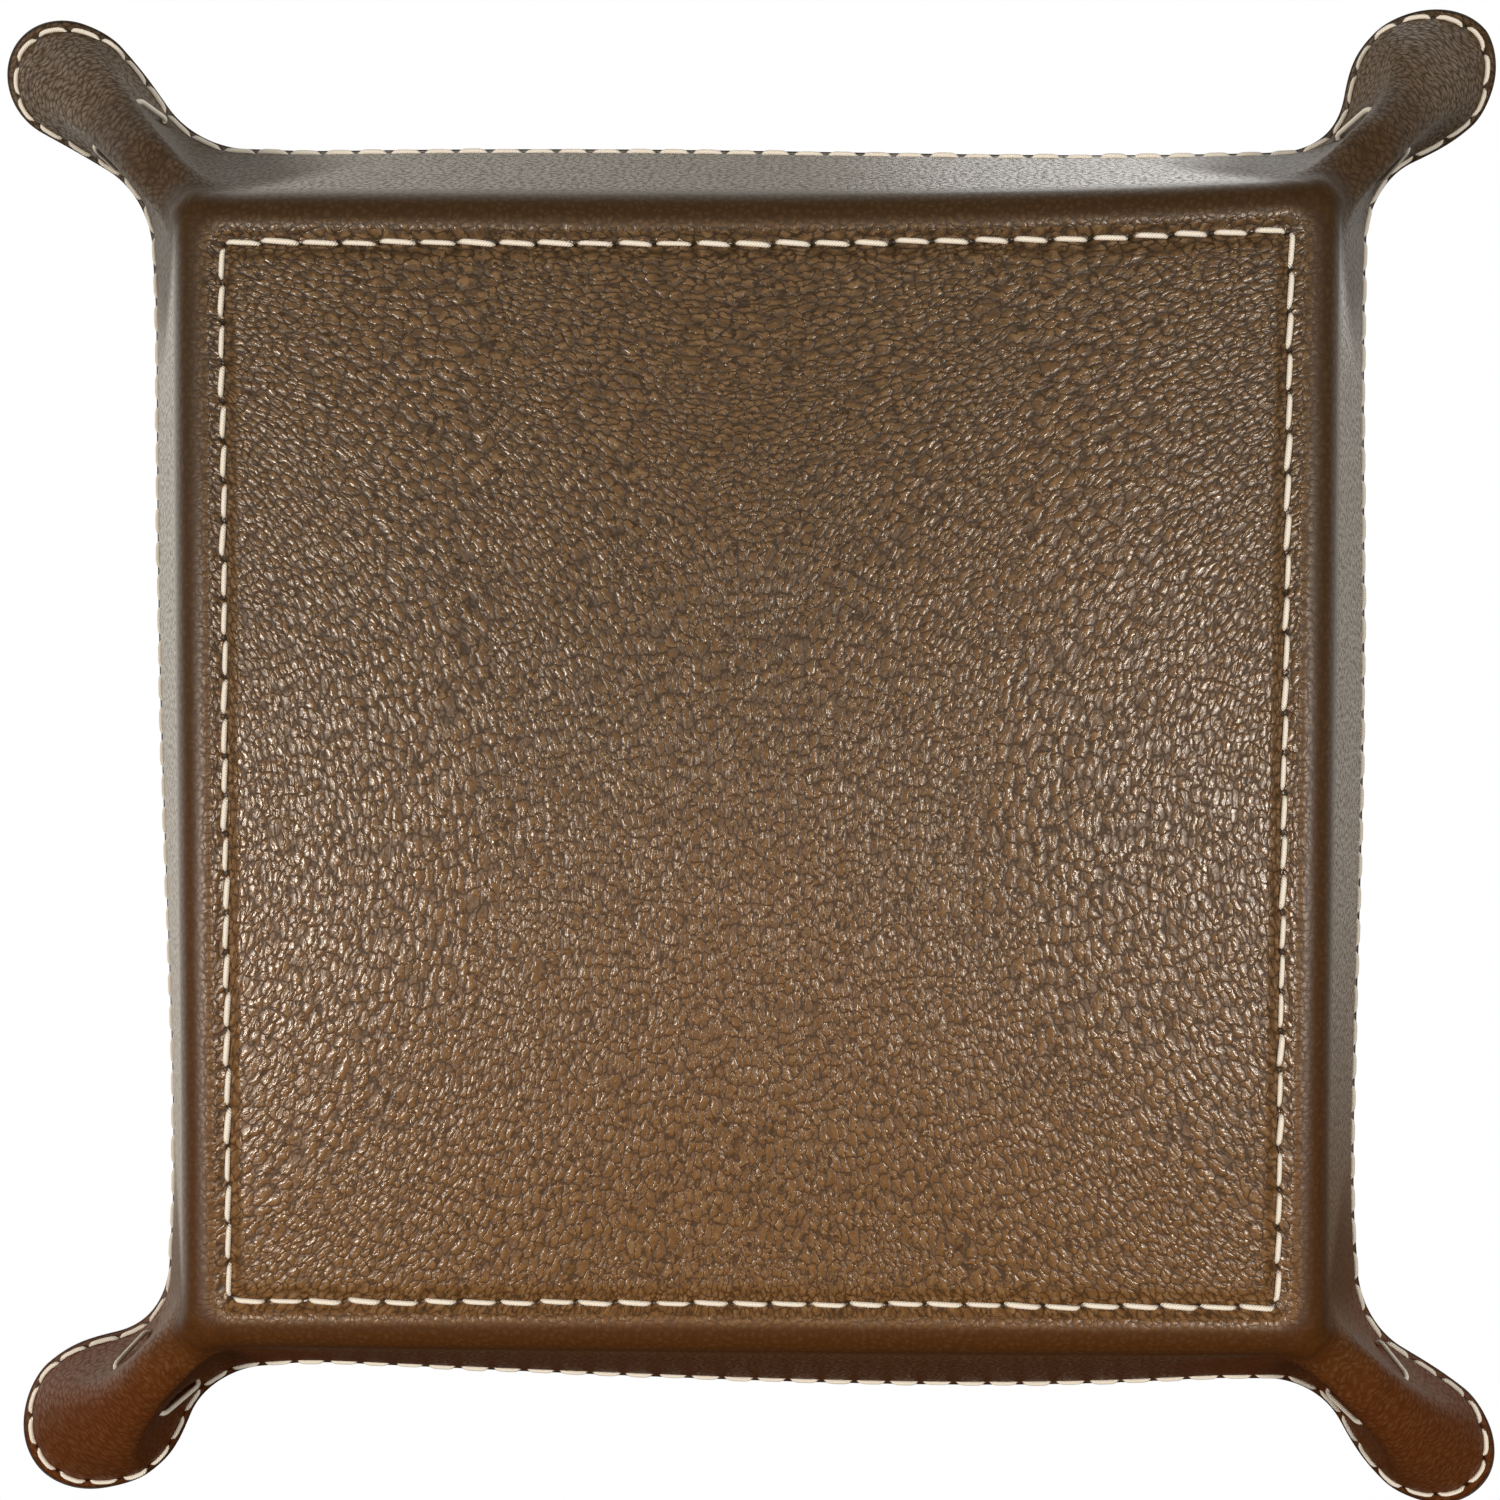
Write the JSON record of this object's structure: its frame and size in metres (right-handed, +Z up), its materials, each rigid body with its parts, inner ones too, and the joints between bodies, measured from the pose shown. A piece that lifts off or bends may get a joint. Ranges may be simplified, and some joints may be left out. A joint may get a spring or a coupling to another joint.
{
  "type": "leather tray",
  "caption": "Square leather desk tray with sloping walls, a stitched base, and corners pinched outwards into round ears held by thread tacks.",
  "frame": {"origin": "middle of the underside, on the surface that the tray stands on", "axes": "+Z up out of the tray's open side; +X and +Y square to the walls"},
  "size_m": [0.1962, 0.1962, 0.0355],
  "materials": {
    "outer_leather": "pebbled brown leather with a soft sheen",
    "lining_leather": "pebbled brown leather, a little duller",
    "edge_paint": "dark brown edge paint, satin",
    "board": "grey pressed fibre board, matt",
    "thread": "waxed cream thread"
  },
  "bodies": {
    "root": {"outer_leather": "outer_leather", "lining_leather": "lining_leather", "base_board": "board", "base_seam_thread_outside": "thread", "base_seam_thread_inside": "thread", "rim_seam_thread_outside": "thread", "rim_seam_thread_inside": "thread", "corner_tack_back_right": "thread", "corner_tack_back_left": "thread", "corner_tack_front_left": "thread", "corner_tack_front_right": "thread"}
  },
  "joints": []
}
